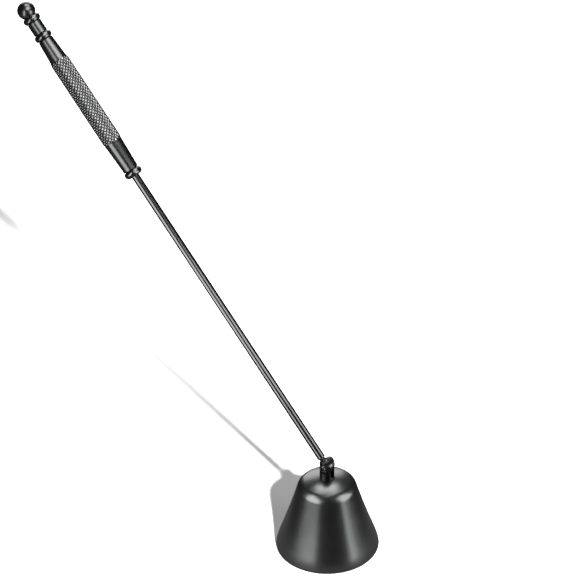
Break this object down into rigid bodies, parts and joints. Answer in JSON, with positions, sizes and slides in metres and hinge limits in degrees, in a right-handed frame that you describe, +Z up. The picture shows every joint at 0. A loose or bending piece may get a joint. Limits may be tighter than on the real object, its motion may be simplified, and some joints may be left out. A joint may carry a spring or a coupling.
{
  "type": "candle snuffer",
  "caption": "Candle snuffer with a cone-shaped bell, a riveted tilting joint on its crown, and a thin rod with a turned, knurled handle and ball end.",
  "frame": {"origin": "centre of the bell's mouth, in the plane of its rim", "axes": "+Z up the bell's axis, hinge axis along Y, the stem leans from the bell's axis towards -X"},
  "size_m": [0.1678, 0.0384, 0.1796],
  "materials": {
    "bell_metal": "cast brass under satin black nickel",
    "hinge_metal": "black nickel",
    "rod_metal": "polished black nickel",
    "handle_metal": "turned aluminium under black nickel",
    "knurl_metal": "diamond knurl on an aluminium tube, black nickel",
    "hardware": "zinc plated"
  },
  "bodies": {
    "bell": {"bell_shell": "bell_metal", "hinge_post": "hinge_metal", "crown_washer": "hardware", "crown_nut": "hardware", "hinge_rivet": "hinge_metal", "hinge_washer": "hinge_metal"},
    "stem": {"stem_rod": "rod_metal", "lower_ring": "handle_metal", "lower_ferrule": "handle_metal", "knurled_grip": "knurl_metal", "upper_ferrule": "handle_metal", "middle_ring": "handle_metal", "neck_sleeve": "handle_metal", "upper_ring": "handle_metal", "ball_finial": "handle_metal"}
  },
  "joints": [
    {"name": "stem_tilt", "type": "hinge", "parent": "bell", "child": "stem", "pos_m": [0, 0, 0.03605], "axis": [0, 1, 0], "range_deg": [-44, 136]}
  ]
}
